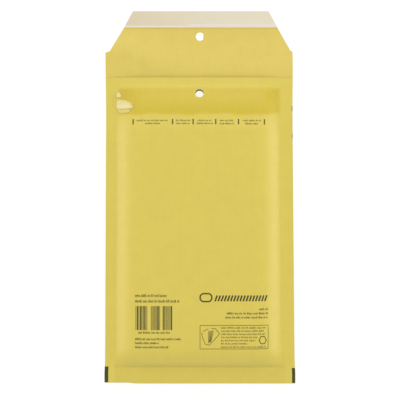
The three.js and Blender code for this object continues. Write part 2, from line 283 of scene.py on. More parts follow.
def makePiece(name, vertices, faceGroups, material, attributes=None):
    # millimetres with y as v become metres in the shared frame; each face group is a whole array
    place = np.array(vertices, float)
    place[:, 1] -= paper["totalLength"] / 2
    mesh = bpy.data.meshes.new(name)
    mesh.vertices.add(len(place))
    mesh.vertices.foreach_set("co", (place * mm).ravel())
    totals = np.concatenate([np.full(len(g), g.shape[1]) for g in faceGroups])
    corners = np.concatenate([g.ravel() for g in faceGroups])
    mesh.loops.add(len(corners))
    mesh.loops.foreach_set("vertex_index", corners.astype(np.int32))
    mesh.polygons.add(len(totals))
    mesh.polygons.foreach_set("loop_start", (np.cumsum(totals) - totals).astype(np.int32))
    mesh.polygons.foreach_set("use_smooth", np.ones(len(totals), bool))
    for key, values in (attributes or {}).items():
        field = mesh.attributes.new(key, "FLOAT", "POINT")
        field.data.foreach_set("value", np.ravel(values).astype(np.float32))
    mesh.update(calc_edges=True)
    mesh.validate()
    mesh.materials.append(material)
    mesh.set_sharp_from_angle(angle=creaseAngle)
    piece = bpy.data.objects.new(name, mesh)
    bpy.context.scene.collection.objects.link(piece)
    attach(piece, "root")
    return piece


def punch(piece, x, v, radius, flatAt=None, slip=0.0, segments=40):
    # a round prism taken out of every layer; with flatAt one side of the circle is cut short, and with slip
    # the prism leans, centred where it meets the near ply
    angle = np.arange(segments) * 2 * math.pi / segments
    ring = np.stack([radius * np.cos(angle), radius * np.sin(angle)], axis=-1)
    if flatAt:
        ring[:, 0] = np.minimum(ring[:, 0], flatAt)
    ring = ring + [x, v - paper["totalLength"] / 2]
    heights = np.repeat([[holes["toolLow"]], [holes["toolHigh"]]], segments, axis=0)
    vertices = np.hstack([np.vstack([ring, ring]), heights])
    vertices[:, 1] += slip * (vertices[:, 2] - nearHeight(x, v))
    vertices *= mm
    low = np.arange(segments)
    sides = np.stack([low, np.roll(low, -1), np.roll(low, -1) + segments, low + segments], axis=-1)
    caps = [low[::-1].tolist(), (low + segments).tolist()]
    cutter = bpy.data.meshes.new("punchTool")
    cutter.from_pydata(vertices.tolist(), [], sides.tolist() + caps)
    tool = bpy.data.objects.new("punchTool", cutter)
    bpy.context.scene.collection.objects.link(tool)
    cut = piece.modifiers.new("punched", "BOOLEAN")
    cut.operation, cut.solver, cut.object = "DIFFERENCE", "EXACT", tool
    bpy.context.view_layer.objects.active = piece
    bpy.ops.object.modifier_apply(modifier=cut.name)
    bpy.data.objects.remove(tool)
    bpy.data.meshes.remove(cutter)


# Finishes
def linear(hexText):
    # sRGB hex to linear RGBA: c/12.92 in the darks, elsewhere ((c + 0.055)/1.055) to the power 2.4
    srgb = np.array([int(hexText[i:i + 2], 16) for i in (1, 3, 5)]) / 255
    low = srgb / 12.92
    return (*np.where(srgb <= 0.04045, low, ((srgb + 0.055) / 1.055) ** 2.4), 1.0)


def addNode(tree, kind, inputs=None, **settings):
    # one node, its settings, and its inputs as values or as links from other nodes' outputs
    node = tree.nodes.new(kind)
    for key, value in settings.items():
        setattr(node, key, value)
    for key, value in (inputs or {}).items():
        if isinstance(value, bpy.types.NodeSocket):
            tree.links.new(value, node.inputs[key])
        else:
            node.inputs[key].default_value = value
    return node


def newMaterial(name):
    # an empty material, its node tree and its shader
    material = bpy.data.materials.new(name)
    material.use_nodes = True
    tree = material.node_tree
    shader = tree.nodes["Principled BSDF"]
    return material, tree, shader


def perMm(size):
    # texture scale for a pattern of this size in millimetres, on object coordinates in metres
    return 1.0 / (size * mm)


kraft = dict(
    outside="#E3CE54", inside="#E2CA5B", glued="#D9C02F",
    fibreSize=1.4, mottleSize=9.0, streakWidth=0.9, streakLength=30.0,
    fibreDepth=0.03, roughness=0.36, insideRoughness=0.6, gloss=0.7, speckPitch=17.0, speckSize=0.022,
    toneSpread=0.045, speckTone=0.72, creaseShadeTone=0.88)


def machineGlazedKraft():
    # Golden machine-glazed kraft: glazed outside with a soft gloss, rougher inside, deeper yellow where glue
    # has soaked in, with fibres drawn coarse enough to show, a slow mottle, faint streaks along the web,
    # a few dark specks, and painted shade along the foot crease and up the slope above it.
    material, tree, shader = newMaterial("machineGlazedKraft")
    place = addNode(tree, "ShaderNodeTexCoord").outputs["Object"]
    layer = addNode(tree, "ShaderNodeAttribute", attribute_name="innerSide").outputs["Fac"]
    stain = addNode(tree, "ShaderNodeAttribute", attribute_name="glueStain").outputs["Fac"]
    side = addNode(tree, "ShaderNodeMix", {
        "Factor": layer, "A": linear(kraft["outside"]), "B": linear(kraft["inside"])}, data_type="RGBA")
    soaked = addNode(tree, "ShaderNodeMix", {
        "Factor": stain, "A": side.outputs["Result"], "B": linear(kraft["glued"])}, data_type="RGBA")
    fibre = addNode(tree, "ShaderNodeTexNoise", {
        "Vector": place, "Scale": perMm(kraft["fibreSize"]), "Detail": 3.0, "Roughness": 0.6,
        "Distortion": 1.2})
    mottle = addNode(tree, "ShaderNodeTexNoise", {
        "Vector": place, "Scale": perMm(kraft["mottleSize"]), "Detail": 4.0, "Roughness": 0.55})
    stretch = (perMm(kraft["streakWidth"]), perMm(kraft["streakLength"]), perMm(kraft["streakLength"]))
    web = addNode(tree, "ShaderNodeMapping", {"Vector": place, "Scale": stretch})
    streak = addNode(tree, "ShaderNodeTexNoise", {
        "Vector": web.outputs["Vector"], "Scale": 1.0, "Detail": 2.0})
    tone = addNode(tree, "ShaderNodeMath", {
        0: fibre.outputs["Fac"], 1: mottle.outputs["Fac"]}, operation="ADD")
    tone = addNode(tree, "ShaderNodeMath", {
        0: streak.outputs["Fac"], 1: 0.5, 2: tone.outputs[0]}, operation="MULTIPLY_ADD")
    spread = addNode(tree, "ShaderNodeMapRange", {
        "Value": tone.outputs[0], "From Min": 0.75, "From Max": 1.75, "To Min": 1 - kraft["toneSpread"],
        "To Max": 1 + kraft["toneSpread"]})
    speck = addNode(tree, "ShaderNodeTexVoronoi", {"Vector": place, "Scale": perMm(kraft["speckPitch"])})
    clean = addNode(tree, "ShaderNodeMapRange", {
        "Value": speck.outputs["Distance"], "From Min": kraft["speckSize"] * 0.5,
        "From Max": kraft["speckSize"], "To Min": kraft["speckTone"]})
    # painted shade: darkens the kraft at the foot crease, up the slope above it and a little over the margin
    # below
    paintedShade = addNode(tree, "ShaderNodeAttribute", attribute_name="paintedCreaseShade").outputs["Fac"]
    crease = addNode(tree, "ShaderNodeMapRange", {
        "Value": paintedShade, "To Min": 1.0, "To Max": kraft["creaseShadeTone"]})
    shade = addNode(tree, "ShaderNodeMath", {
        0: spread.outputs["Result"], 1: clean.outputs["Result"]}, operation="MULTIPLY")
    shade = addNode(tree, "ShaderNodeMath", {
        0: shade.outputs[0], 1: crease.outputs["Result"]}, operation="MULTIPLY")
    colour = addNode(tree, "ShaderNodeVectorMath", {
        0: soaked.outputs["Result"], "Scale": shade.outputs[0]}, operation="SCALE")
    rough = addNode(tree, "ShaderNodeMapRange", {
        "Value": layer, "To Min": kraft["roughness"], "To Max": kraft["insideRoughness"]})
    bump = addNode(tree, "ShaderNodeBump", {
        "Height": fibre.outputs["Fac"], "Strength": 0.5, "Distance": kraft["fibreDepth"] * mm})
    tree.links.new(colour.outputs["Vector"], shader.inputs["Base Color"])
    tree.links.new(rough.outputs["Result"], shader.inputs["Roughness"])
    tree.links.new(bump.outputs["Normal"], shader.inputs["Normal"])
    shader.inputs["IOR"].default_value = 1.5
    shader.inputs["Specular IOR Level"].default_value = kraft["gloss"]
    return material


def clearPolyethylene():
    # Clear blown polyethylene film: nearly colourless and glossy, faintly hazy and a little wavy.
    material, tree, shader = newMaterial("clearPolyethylene")
    place = addNode(tree, "ShaderNodeTexCoord").outputs["Object"]
    haze = addNode(tree, "ShaderNodeTexNoise", {"Vector": place, "Scale": perMm(5.0), "Detail": 3.0})
    alpha = addNode(tree, "ShaderNodeMapRange", {
        "Value": haze.outputs["Fac"], "To Min": 0.22, "To Max": 0.42})
    bump = addNode(tree, "ShaderNodeBump", {
        "Height": haze.outputs["Fac"], "Strength": 0.3, "Distance": 0.1 * mm})
    tree.links.new(alpha.outputs["Result"], shader.inputs["Alpha"])
    tree.links.new(bump.outputs["Normal"], shader.inputs["Normal"])
    shader.inputs["Base Color"].default_value = linear("#EEF3F4")
    shader.inputs["Roughness"].default_value = 0.12
    shader.inputs["IOR"].default_value = 1.51
    return material


def hotMeltGlue():
    # Hot-melt glue that has soaked into the kraft: amber, uneven and slightly shiny.
    material, tree, shader = newMaterial("hotMeltGlue")
    place = addNode(tree, "ShaderNodeTexCoord").outputs["Object"]
    flow = addNode(tree, "ShaderNodeTexNoise", {"Vector": place, "Scale": perMm(4.0), "Detail": 3.0})
    tone = addNode(tree, "ShaderNodeMix", {
        "Factor": flow.outputs["Fac"], "A": linear("#D2B94A"), "B": linear("#E0CC74")}, data_type="RGBA")
    tree.links.new(tone.outputs["Result"], shader.inputs["Base Color"])
    shader.inputs["Roughness"].default_value = 0.3
    shader.inputs["IOR"].default_value = 1.48
    return material


def tackyAdhesive():
    # Self-seal rubber adhesive: cream, wet-looking, with a fine orange-peel surface.
    material, tree, shader = newMaterial("tackyAdhesive")
    place = addNode(tree, "ShaderNodeTexCoord").outputs["Object"]
    peel = addNode(tree, "ShaderNodeTexNoise", {"Vector": place, "Scale": perMm(0.8), "Detail": 2.0})
    bump = addNode(tree, "ShaderNodeBump", {
        "Height": peel.outputs["Fac"], "Strength": 0.4, "Distance": 0.03 * mm})
    tree.links.new(bump.outputs["Normal"], shader.inputs["Normal"])
    shader.inputs["Base Color"].default_value = linear("#E6DCB8")
    shader.inputs["Roughness"].default_value = 0.18
    shader.inputs["IOR"].default_value = 1.5
    return material


def siliconeReleasePaper():
    # Silicone-coated release paper: cream and satin, slightly mottled, with a painted highlight along its
    # curled free edge, and paler to the right.
    material, tree, shader = newMaterial("siliconeReleasePaper")
    place = addNode(tree, "ShaderNodeTexCoord").outputs["Object"]
    free = addNode(tree, "ShaderNodeAttribute", attribute_name="freeEdge").outputs["Fac"]
    mottle = addNode(tree, "ShaderNodeTexNoise", {"Vector": place, "Scale": perMm(14.0), "Detail": 2.0})
    backed = addNode(tree, "ShaderNodeMix", {
        "Factor": mottle.outputs["Fac"], "A": linear("#DFCFAE"), "B": linear("#E9DFC4")}, data_type="RGBA")
    # paler towards the right
    paleRight = addNode(tree, "ShaderNodeAttribute", attribute_name="paleSide").outputs["Fac"]
    pale = addNode(tree, "ShaderNodeMix", {
        "Factor": paleRight, "A": backed.outputs["Result"], "B": linear("#ECE3CB")}, data_type="RGBA")
    # painted highlight: the free edge, which curls up towards the light, is given a paler colour
    tone = addNode(tree, "ShaderNodeMix", {
        "Factor": free, "A": pale.outputs["Result"], "B": linear("#EEE2D2")}, data_type="RGBA")
    fine = addNode(tree, "ShaderNodeTexNoise", {"Vector": place, "Scale": perMm(1.5), "Detail": 2.0})
    bump = addNode(tree, "ShaderNodeBump", {
        "Height": fine.outputs["Fac"], "Strength": 0.3, "Distance": 0.02 * mm})
    tree.links.new(tone.outputs["Result"], shader.inputs["Base Color"])
    tree.links.new(bump.outputs["Normal"], shader.inputs["Normal"])
    shader.inputs["Roughness"].default_value = 0.34
    shader.inputs["IOR"].default_value = 1.45
    return material


def clearSealFilm():
    # Clear polyester seal: all but invisible where it sticks to the kraft, milky and glossy where air lies
    # under it, and there the glare off the lifted film is painted in as a near-opaque pale cream, paler the
    # more air there is.
    material, tree, shader = newMaterial("clearSealFilm")
    place = addNode(tree, "ShaderNodeTexCoord").outputs["Object"]
    air = addNode(tree, "ShaderNodeAttribute", attribute_name="airUnder").outputs["Fac"]
    alpha = addNode(tree, "ShaderNodeMapRange", {
        "Value": air, "From Max": 0.25, "To Min": 0.03, "To Max": 0.95})
    wrinkle = addNode(tree, "ShaderNodeTexNoise", {"Vector": place, "Scale": perMm(4.0), "Detail": 1.0})
    # painted highlight: pale creams stand in for the glare off the lifted film, nearly opaque where air lies
    # under it
    paintedGlare = addNode(tree, "ShaderNodeMix", {
        "Factor": wrinkle.outputs["Fac"], "A": linear("#F8E7A8"), "B": linear("#FFF1B8")}, data_type="RGBA")
    tone = addNode(tree, "ShaderNodeMix", {
        "Factor": air, "A": linear("#E2CE5C"), "B": paintedGlare.outputs["Result"]}, data_type="RGBA")
    tree.links.new(tone.outputs["Result"], shader.inputs["Base Color"])
    tree.links.new(alpha.outputs["Result"], shader.inputs["Alpha"])
    shader.inputs["Roughness"].default_value = 0.2
    shader.inputs["IOR"].default_value = 1.57
    return material


def flexoInk():
    # Flexographic ink soaked into kraft: dark olive and dull, paler and browner where it lies thin.
    material, tree, shader = newMaterial("flexoInk")
    place = addNode(tree, "ShaderNodeTexCoord").outputs["Object"]
    thin = addNode(tree, "ShaderNodeAttribute", attribute_name="thinInk").outputs["Fac"]
    cover = addNode(tree, "ShaderNodeTexNoise", {"Vector": place, "Scale": perMm(0.9), "Detail": 2.0})
    full = addNode(tree, "ShaderNodeMix", {
        "Factor": cover.outputs["Fac"], "A": linear("#2F3512"), "B": linear("#4A4B1C")}, data_type="RGBA")
    tone = addNode(tree, "ShaderNodeMix", {
        "Factor": thin, "A": full.outputs["Result"], "B": linear("#9A8A3A")}, data_type="RGBA")
    tree.links.new(tone.outputs["Result"], shader.inputs["Base Color"])
    shader.inputs["Roughness"].default_value = 0.6
    shader.inputs["IOR"].default_value = 1.5
    return material


kraftMaterial = machineGlazedKraft()
filmMaterial = clearPolyethylene()
glueMaterial = hotMeltGlue()
print("materials made")

# The folded sheet, from the near ply's mouth edge round the foot fold and on to the flap's tip.
# Its grid lines across and up are (end, number of cells) pairs.
halfFoot = paper["footWidth"] / 2
insets = graded(0, (paper["leftSeam"], 5), (paper["rightSeam"], 4), (paper["edgeInset"], 18), (halfFoot, 22))
bodyLevels = graded(paper["plySpacing"] + paper["thickness"] / 2, (11, 6), (14, 10), (26, 16), (36, 5),
                    (180, 64), (204, 20), (paper["bodyLength"], 12))
flapLevels = graded(paper["bodyLength"], (242.9, 9), (244.9, 5), (262, 8), (paper["totalLength"], 8))[1:]
# painted shade at the foot crease: a dark line, a tail fading up the slope above it, and a lighter shade
# over the foot margin below
footCreaseShade = dict(
    width=0.7, aboveAmount=0.7, aboveFade=3.5, aboveStart=(-0.6, 0.4),
    belowAmount=0.35, belowStart=(0.4, 1.6), side=(6.6, 8.2))
# Where the stain fades, from the band's foot, the film's top and the right seam, and the waves of its
# foot as (height, length, phase).
glueStain = dict(foot=(-1.6, 0.4), top=(-1.2, 0.8), side=(-1, 3), waves=((0.5, 7.0, 0.0), (0.4, 2.9, 1.0)))


def buildSheet():
    # one hairpin grid given its thickness, with the glue's stain and painted shade at the foot crease as
    # attributes:
    # the stain is a band across with a wavy foot, the crease's painted shade exp(−(d/width)²) with a tail
    # exp(−d/fade) above
    foldAt = bodyLevels[0]
    v, weight = hairpin(bodyLevels, foldAt, paper["plySpacing"], np.concatenate([bodyLevels, flapLevels]))
    points = sheetPoints(v, weight, insets, nearHeight, farHeight, foldAt)
    half = paper["thickness"] / 2
    vertices, faces = shell(points, -half, half)
    x, level = points[..., 0], points[..., 1]
    wavy = sum(height * np.sin(x / length + phase) for height, length, phase in glueStain["waves"])
    band = smooth(level, *[paper["bandFoot"] + edge + wavy for edge in glueStain["foot"]])
    band = band * (1 - smooth(level, *[paper["filmTop"] + edge for edge in glueStain["top"]]))
    stain = band * smooth(insetAt(x, level), *[paper["rightSeam"] + edge for edge in glueStain["side"]])
    inner = np.concatenate([np.zeros(x.size), np.ones(x.size)])
    above = level - paper["footMargin"]
    tail = smooth(above, *footCreaseShade["aboveStart"]) * np.exp(-np.maximum(above, 0) / footCreaseShade["aboveFade"])
    paintedShade = np.exp(-(above / footCreaseShade["width"]) ** 2) + footCreaseShade["aboveAmount"] * tail
    paintedShade = paintedShade + footCreaseShade["belowAmount"] * smooth(-above, *footCreaseShade["belowStart"])
    paintedShade = np.clip(paintedShade, 0, 1) * smooth(insetAt(x, level), *footCreaseShade["side"])
    attributes = {"glueStain": np.tile(stain.ravel(), 2), "paintedCreaseShade": np.tile(paintedShade.ravel(), 2),
                  "innerSide": inner}
    piece = makePiece("kraft_sheet", vertices, [faces], kraftMaterial, attributes)
    punch(piece, holes["bodyX"], holes["bodyV"], holes["radius"], slip=holes["slip"])
    punch(piece, holes["flapX"], holes["flapV"], holes["radius"], holes["flatAt"])
    piece.data.set_sharp_from_angle(angle=creaseAngle)
    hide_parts("kraft_envelope")
    print("kraft sheet", len(piece.data.polygons))


# The bubble film: one folded film with its air cells standing towards the paper
def cellCentres():
    # a hexagonal lattice over the padded area: rows √3/2 of the pitch apart, every other one half a pitch
    # across, kept where a cell is clear of the seams and below the padding's top
    pitch = film["cellPitch"]
    row = pitch * math.sqrt(3) / 2
    i, j = np.meshgrid(np.arange(-6, 7), np.arange(0, 18), indexing="ij")
    x = i * pitch + (j % 2) * pitch / 2
    v = film["foldAt"] + film["firstRow"] + j * row
    centres = np.stack([x.ravel(), v.ravel()], axis=-1)
    room = paper["rightSeam"] + film["cellRadius"] + film["edgeRoom"]
    inside = insetAt(centres[:, 0], centres[:, 1]) > room
    return centres[inside & (centres[:, 1] < paper["padTop"])]


def cellShapes(nearSide, start):
    # each cell is a profile of radius against height turned round its centre, from the film to just short
    # of the paper
    centres = cellCentres()
    radius = np.array(film["cellRings"]) * film["cellRadius"]
    rise = np.array(film["cellRise"])
    angle = np.arange(film["sides"]) * 2 * math.pi / film["sides"]
    x = centres[:, 0, None, None] + radius[None, :, None] * np.cos(angle)
    v = centres[:, 1, None, None] + radius[None, :, None] * np.sin(angle)
    filmAt, paperAt = (filmNear, nearHeight) if nearSide else (filmFar, farHeight)
    clear = paper["thickness"] / 2 + film["paperGap"]
    top = paperAt(x, v) - (clear if nearSide else -clear)
    base = filmAt(x, v)
    z = base + rise[None, :, None] * (top - base)
    count, rings, sides = z.shape
    ids = start + np.arange(z.size).reshape(count, rings, sides)
    turned = np.roll(ids, -1, axis=2)
    walls = np.stack([ids[:, :-1], turned[:, :-1], turned[:, 1:], ids[:, 1:]], axis=-1).reshape(-1, 4)
    tops, feet = ids[:, -1], ids[:, 0, ::-1]
    if not nearSide:
        walls, tops, feet = walls[:, ::-1], tops[:, ::-1], feet[:, ::-1]
    return np.stack([x, v, z], axis=-1).reshape(-1, 3), [walls, tops, feet]


def buildFilm():
    # the film as a hairpin grid like the sheet's, and on both sides its cells
    inner = graded(3.0, (paper["leftSeam"], 2), (paper["rightSeam"], 2), (paper["edgeInset"], 9),
                   (halfFoot, 12))
    filmInsets = np.concatenate([[film["inset"]], inner])
    levels = graded(film["foldAt"], (27, 10), (180, 40), (204, 12), (paper["filmTop"], 5))
    v, weight = hairpin(levels, film["foldAt"], film["foldReach"], levels, steps=6)
    points = sheetPoints(v, weight, filmInsets, filmNear, filmFar, film["foldAt"])
    vertices, faces = shell(points, -film["thickness"] / 2, film["thickness"] / 2)
    nearPoints, nearFaces = cellShapes(True, len(vertices))
    farPoints, farFaces = cellShapes(False, len(vertices) + len(nearPoints))
    groups = [np.concatenate([faces, nearFaces[0], farFaces[0]])]
    groups += [np.concatenate([nearFaces[k], farFaces[k]]) for k in (1, 2)]
    piece = makePiece("bubble_film", np.concatenate([vertices, nearPoints, farPoints]), groups, filmMaterial)
    punch(piece, holes["bodyX"], holes["bodyV"], holes["filmRadius"], slip=holes["slip"])
    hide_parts("bubble_film_liner")
    print("bubble film", len(piece.data.polygons))


# Thin layers on a ply: the glue below the mouth, then the flap's adhesive and its release strip
def plySheet(name, levels, insetList, heightAt, offsets, material, node, fields=None):
    # a thin layer that follows a ply, between two offsets from the ply's middle, upwards
    x = acrossAt(insetList, levels)
    v = levels[:, None] + 0 * x
    points = np.stack([x, v, heightAt(x, v)], axis=-1)[::-1]
    vertices, faces = shell(points, *offsets)
    attributes = {key: np.tile(field(x, v)[::-1].ravel(), 2) for key, field in (fields or {}).items()}
    piece = makePiece(name, vertices, [faces], material, attributes)
    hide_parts(node)
    return piece


glue = dict(start=0.09, end=0.18, inset=10.4)


def buildGlue():
    # a band on each ply's inner side, between start and end from the ply's middle
    levels = graded(paper["bandFoot"], (paper["filmTop"], 10))
    insetList = graded(glue["inset"], (paper["edgeInset"], 8), (halfFoot, 14))
    near = plySheet("glue_band_near", levels, insetList, nearHeight, (-glue["end"], -glue["start"]),
                    glueMaterial, "mouth_glue_near")
    far = plySheet("glue_band_far", levels, insetList, farHeight, (glue["start"], glue["end"]),
                   glueMaterial, "mouth_glue_far")
    for piece in (near, far):
        punch(piece, holes["bodyX"], holes["bodyV"], holes["filmRadius"], slip=holes["slip"])
    print("glue bands")


strip = dict(
    width=12.2, thickness=0.1, adhesive=0.08, margin=1.2, gap=0.03, curl=0.12,
    freeLeft=1.3, freeRight=2.6, step=(-9.2, -8.4), paleAmount=0.75, paleFrom=-45, paleTo=30)


def buildStrip():
    # two thin layers on the flap's tip: the adhesive, and the release strip, whose free foot edge curls up
    tip = paper["totalLength"]
    foot = tip - strip["width"]
    bottom = paper["thickness"] / 2 + strip["gap"]

    def freeEdge(x, v):
        # 1 below the adhesive's foot edge, which stands higher on the right, and 0 above it
        wide = strip["freeLeft"] + (strip["freeRight"] - strip["freeLeft"]) * smooth(x, *strip["step"])
        return 1 - smooth(v - foot - wide, -0.25, 0.25)

    def paleSide(x, v):
        # 0 on the left to paleAmount on the right
        return strip["paleAmount"] * smooth(x, strip["paleFrom"], strip["paleTo"])

    plySheet("seal_adhesive", graded(foot + strip["freeRight"], (tip - strip["margin"], 6)),
             graded(strip["margin"], (paper["edgeInset"], 8), (halfFoot, 14)), farHeight,
             (bottom, bottom + strip["adhesive"]), tackyAdhesive(), "flap_adhesive")
    low = bottom + strip["adhesive"] + strip["gap"]
    # the release paper's free edge curls up, and its freeEdge attribute also sets a painted highlight there
    plySheet("release_paper", graded(foot, (foot + 4, 16), (tip, 6)),
             graded(0, (paper["edgeInset"], 10), (halfFoot, 40)),
             lambda x, v: farHeight(x, v) + strip["curl"] * freeEdge(x, v),
             (low, low + strip["thickness"]), siliconeReleasePaper(), "release_strip",
             {"freeEdge": freeEdge, "paleSide": paleSide})
    print("flap strip")


# The round seal. Each patch with air under it is (left, foot, width, height, power, amount).
seal = dict(
    x=-55.3, v=206.8, radius=9.4, thickness=0.06, gap=0.04, cells=48, lift=0.12, steepness=2.0, fade=0.45,
    patches=((-60.8, 201.7, 12.8, 7.2, 2.3, 1.0),
             (-60.8, 210.2, 3.8, 5.2, 1.5, 1.0),
             (-60.6, 198.4, 10.8, 2.8, 6.0, 0.4)))


def sealLift(x, v):
    # the seal stands off in patches beyond the seam, each a quarter of aᵖ + bᵖ < 1 from its left foot
    # corner, fullest at its foot, and nowhere at the seal's own edge
    total = 0 * x
    for left, foot, width, height, power, amount in seal["patches"]:
        a, b = np.clip((x - left) / width, 0, 2), np.clip((v - foot) / height, 0, 2)
        inside = np.clip(seal["steepness"] * (1 - a ** power - b ** power), 0, 1)
        inside = inside * (1 - seal["fade"] * np.clip(b, 0, 1))
        total += amount * inside * smooth(x, left - 0.5, left + 0.3) * smooth(v, foot - 0.7, foot + 0.4)
    away = np.hypot(x - seal["x"], v - seal["v"])
    return total * smooth(seal["radius"] - away, 0.3, 1.0)


def buildSeal():
    # a square grid mapped on a disc: x·√(1 − y²/2), y·√(1 − x²/2), laid over the near ply and lifted
    # in patches
    grid = np.linspace(-1, 1, seal["cells"])
    a, b = np.meshgrid(grid, grid, indexing="ij")
    x = seal["x"] + seal["radius"] * b * np.sqrt(1 - a * a / 2)
    v = seal["v"] - seal["radius"] * a * np.sqrt(1 - b * b / 2)
    lifted = sealLift(x, v)
    points = np.stack([x, v, nearHeight(x, v) + seal["lift"] * lifted], axis=-1)
    bottom = paper["thickness"] / 2 + seal["gap"]
    vertices, faces = shell(points, bottom, bottom + seal["thickness"])
    air = np.tile(lifted.ravel(), 2)
    piece = makePiece("round_seal", vertices, [faces], clearSealFilm(), {"airUnder": air})
    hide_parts("clear_seal")
    print("seal")


# Print on the near ply: ticks, unreadable lines, a framed box, stripes, a badge with bars, and edge marks
ink = dict(
    thickness=0.02, lift=0.03, reach=1.6, markInset=0.05,
    stemWidth=0.28, stemPitch=0.56, stemShift=0.25, stemSpread=(0.85, 1.2), stemHeights=(0.68, 0.72, 1.0),
    groupStems=(4, 11), barReach=0.78, barHeight=0.2, barPlaces=(0.0, 0.42, 0.8))
inkThin = dict(ticks=0.15, upper=0.3, lower=0.1, boxed=0.2, drawing=0.5, stripes=0.15, badge=0.0, marks=0.0)
# A line is (left, right, v) or (left, right, v, height), a mark (side, width, foot, top).
printLayout = dict(
    tickX=(-48.5, -19.8, -4.9, 11.5, 28.0, 46.9), tickV=(189.5, 193.5), tickWidth=0.9,
    upperLines=[(-46.0, -23.2, 192.5), (-39.8, -29.0, 190.3), (-17.3, -6.8, 192.5), (-17.3, -7.5, 190.3),
                (-1.8, 8.8, 192.5), (-2.5, 9.5, 190.3), (14.6, 24.7, 192.4), (14.2, 24.7, 190.1),
                (31.2, 44.3, 192.4), (32.7, 42.1, 190.1)],
    leftLines=[(-47.1, -24.0, 65.5, 2.0), (-47.1, -14.8, 61.5, 2.0), (-44.6, -21.0, 38.7, 1.5),
               (-47.1, -13.8, 34.0, 1.6), (-47.1, -29.7, 31.1, 1.6), (-47.1, -22.8, 28.1, 1.6)],
    rightLines=[(42.9, 49.4, 55.6, 1.5), (19.3, 49.4, 52.6, 1.5), (18.2, 49.4, 49.7, 1.5)],
    boxLines=[(15.3, 47.9, 42.2), (15.3, 46.4, 39.9), (15.3, 47.2, 37.6), (15.3, 41.7, 35.3),
              (15.3, 40.6, 33.0), (15.3, 34.9, 30.7), (15.3, 47.9, 28.3)],
    stripes=dict(left=-46.7, right=-19.9, foot=40.5, top=57.9, count=34, shift=0.35,
                 widths=(0.38, 0.38, 0.7), gaps=((-37.4, -36.2), (-28.3, -27.3))),
    slants=dict(left=11.0, right=48.6, foot=61.4, top=65.6, lean=1.5, count=17, width=1.15),
    badge=dict(left=0.2, right=8.6, foot=61.2, top=66.9, cut=1.6, width=1.0),
    box=dict(left=0.1, right=49.6, foot=26.8, top=43.9, width=0.36),
    ring=[(44.2, 30.5), (46.9, 30.5), (48.2, 33.1), (46.9, 35.7), (44.2, 35.7), (42.9, 33.1)], ringWidth=0.6,
    openFlap=[(2.2, 39.6), (6.2, 41.5)], openFlapWidth=0.4,
    tilted=[(1.3, 38.7), (1.9, 35.1), (3.9, 30.2), (6.8, 29.6), (11.3, 34.3), (14.3, 38.0), (10.9, 41.9),
            (8.3, 41.6)], tiltedWidth=0.45,
    hatch=dict(foot=(6.3, 31.0), footStep=(0.36, 0.25), top=(6.2, 39.9), topStep=(0.72, 0.1),
               count=6, width=0.34),
    marks=[(-1, 2.7, 1.0, 12.6), (1, 2.3, 0.5, 11.5), (1, 0.45, 200.1, 203.7), (1, 0.4, 180.3, 183.2)])


def stroke(x0, v0, x1, v1, width):
    # a straight line of even width as pieces short enough to follow the paper
    ends = np.array([[x0, v0], [x1, v1]], float)
    length = np.linalg.norm(ends[1] - ends[0])
    count = max(1, math.ceil(length / ink["reach"]))
    along = (ends[1] - ends[0]) / length
    side = np.array([-along[1], along[0]]) * width / 2
    stops = ends[0] + np.linspace(0, 1, count + 1)[:, None] * (ends[1] - ends[0])
    return np.stack([stops[:-1] - side, stops[1:] - side, stops[1:] + side, stops[:-1] + side], axis=1)


def edgeMark(side, width, v0, v1):
    # a dark band along a side edge, its outer side markInset inside the paper's own
    v = np.linspace(v0, v1, 2 + int((v1 - v0) / ink["reach"]))
    outer = centreAt(v) + side * (halfWidth(v) - ink["markInset"])
    low, high = np.stack([outer - side * width, v], -1), np.stack([outer, v], -1)
    if side < 0:
        low, high = high, low
    return np.stack([low[:-1], high[:-1], high[1:], low[1:]], axis=1)


def boxes(left, right, foot, top):
    # the four corners of each upright box, anticlockwise from its left foot
    corners = [(left, foot), (right, foot), (right, top), (left, top)]
    return np.stack([np.stack(corner, axis=-1) for corner in corners], axis=1)


def unreadableLine(x0, x1, v, height=1.2, weight=1.0):
    # stems of uneven height with a bar beside each, in groups with gaps, which read as small print from afar
    count = int((x1 - x0) / ink["stemPitch"])
    pitch = (x1 - x0) / count
    x = x0 + (np.arange(count) + rng.uniform(0, ink["stemShift"], count)) * pitch
    group = np.cumsum(rng.integers(*ink["groupStems"], count))
    kept = ~np.isin(np.arange(count), group)
    wide = ink["stemWidth"] * weight * rng.uniform(*ink["stemSpread"], count)
    tall = height * rng.choice(ink["stemHeights"], count)
    foot = v - height / 2
    bar = foot + tall * rng.choice(ink["barPlaces"], count)
    stems = boxes(x, x + wide, foot + 0 * x, foot + tall)
    bars = boxes(x + wide, x + ink["barReach"] * pitch, bar, bar + ink["barHeight"] * weight)
    return np.concatenate([stems[kept], bars[kept]])


def stripeBlocks():
    # upright stripes at uneven steps and of two widths, left out at the gaps; they hold no code
    s = printLayout["stripes"]
    count = s["count"]
    step = np.arange(count) + rng.uniform(0, s["shift"], count)
    starts = s["left"] + step * (s["right"] - s["left"]) / count
    wide = rng.choice(s["widths"], count)
    clear = np.all([(starts + wide < a) | (starts > b) for a, b in s["gaps"]], axis=0)
    return np.concatenate([stroke(x + w / 2, s["foot"], x + w / 2, s["top"], w)
                           for x, w in zip(starts[clear], wide[clear])])


def outline(corners, width, closed=True):
    # a stroke along each side of a polygon
    ends = list(zip(corners, corners[1:] + corners[:1])) if closed else list(zip(corners, corners[1:]))
    return np.concatenate([stroke(*a, *b, width) for a, b in ends])


